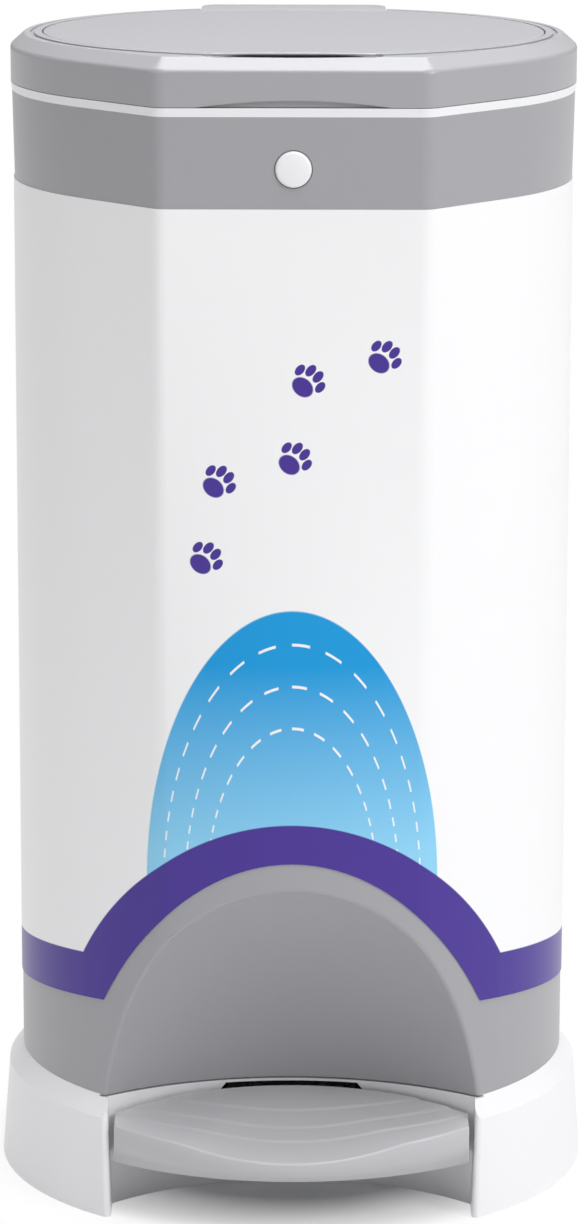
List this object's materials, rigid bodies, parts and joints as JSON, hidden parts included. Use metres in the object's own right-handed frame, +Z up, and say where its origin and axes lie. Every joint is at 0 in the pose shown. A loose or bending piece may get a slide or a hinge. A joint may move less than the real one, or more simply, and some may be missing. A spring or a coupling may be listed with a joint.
{
  "type": "step-on litter disposal pail",
  "caption": "Tall step-on waste pail: round foot, faceted rim, pedal below a domed toe alcove, hinged lid with a round flap, inner trap door and front latch button.",
  "frame": {"origin": "on the floor, on the upright axis of the round body", "axes": "+Z up, -Y to the front where the pedal and the button are, +X to the right seen from the front"},
  "size_m": [0.287, 0.3095, 0.5558],
  "materials": {
    "shell_white": "satin moulded",
    "lid_grey": "fine matt moulded",
    "grey_plastic": "matt moulded",
    "black_plastic": "matt moulded",
    "shell_grey": "satin moulded",
    "printed_wrap": "printed film",
    "rubber_grey": "soft matt",
    "rubber_dark": "soft matt",
    "steel": "zinc plated",
    "spring_steel": "bright wire"
  },
  "bodies": {
    "body": {"base": "shell_white", "base_plate": "grey_plastic", "plate_screws": "steel", "grip_pads": "rubber_dark", "body_shell": "shell_grey", "wrap_label": "printed_wrap", "rim_frame": "shell_white", "lid_seal": "rubber_grey", "liner_ring": "grey_plastic", "rod_guide": "grey_plastic", "latch_housing": "grey_plastic", "carry_handle": "shell_grey", "handle_screws": "steel", "lid_pin": "steel", "pedal_axle": "steel", "pedal_spring": "spring_steel", "button_spring": "spring_steel"},
    "lid": {"lid_cover": "lid_grey", "chute": "grey_plastic", "chute_screws": "steel", "flap_pin": "steel", "trap_pin": "steel"},
    "flap": {"flap": "lid_grey", "flap_liner": "grey_plastic", "flap_seal": "rubber_grey", "flap_crank": "black_plastic"},
    "trap": {"trap_door": "grey_plastic", "trap_seal": "rubber_grey", "trap_crank": "black_plastic"},
    "pedal": {"pedal": "shell_grey", "pedal_lever": "steel"},
    "rod": {"push_rod": "black_plastic", "trap_pusher": "black_plastic"},
    "button": {"lid_button": "shell_white", "latch_slide": "black_plastic"}
  },
  "joints": [
    {"name": "pedal_press", "type": "hinge", "parent": "body", "child": "pedal", "pos_m": [0, -0.005, 0.024], "axis": [1, 0, 0], "range_deg": [0, 9], "stiffness_Nm_per_rad": 8, "springref_deg": -8.59, "deforming": ["pedal_spring"]},
    {"name": "rod_lift", "type": "slide", "parent": "body", "child": "rod", "axis": [0, 0, 1], "range_m": [0, 0.01957]},
    {"name": "lid_open", "type": "hinge", "parent": "body", "child": "lid", "pos_m": [0, 0.14, 0.533], "axis": [-1, 0, 0], "range_deg": [0, 100]},
    {"name": "flap_open", "type": "hinge", "parent": "lid", "child": "flap", "pos_m": [0, 0.126, 0.5475], "axis": [-1, 0, 0], "range_deg": [0, 74.01]},
    {"name": "trap_open", "type": "hinge", "parent": "lid", "child": "trap", "pos_m": [0, 0.088, 0.5045], "axis": [1, 0, 0], "range_deg": [0, 74.01]},
    {"name": "button_press", "type": "slide", "parent": "body", "child": "button", "axis": [0, 1, 0], "range_m": [0, 0.003], "stiffness_N_per_m": 500, "springref_m": -0.002, "deforming": ["button_spring"]}
  ],
  "couplings": [
    {"joint": "rod_lift", "follows": "pedal_press", "m_per_rad": 0.12453},
    {"joint": "flap_open", "follows": "pedal_press", "ratio": 8.2222},
    {"joint": "trap_open", "follows": "pedal_press", "ratio": 8.2222}
  ]
}
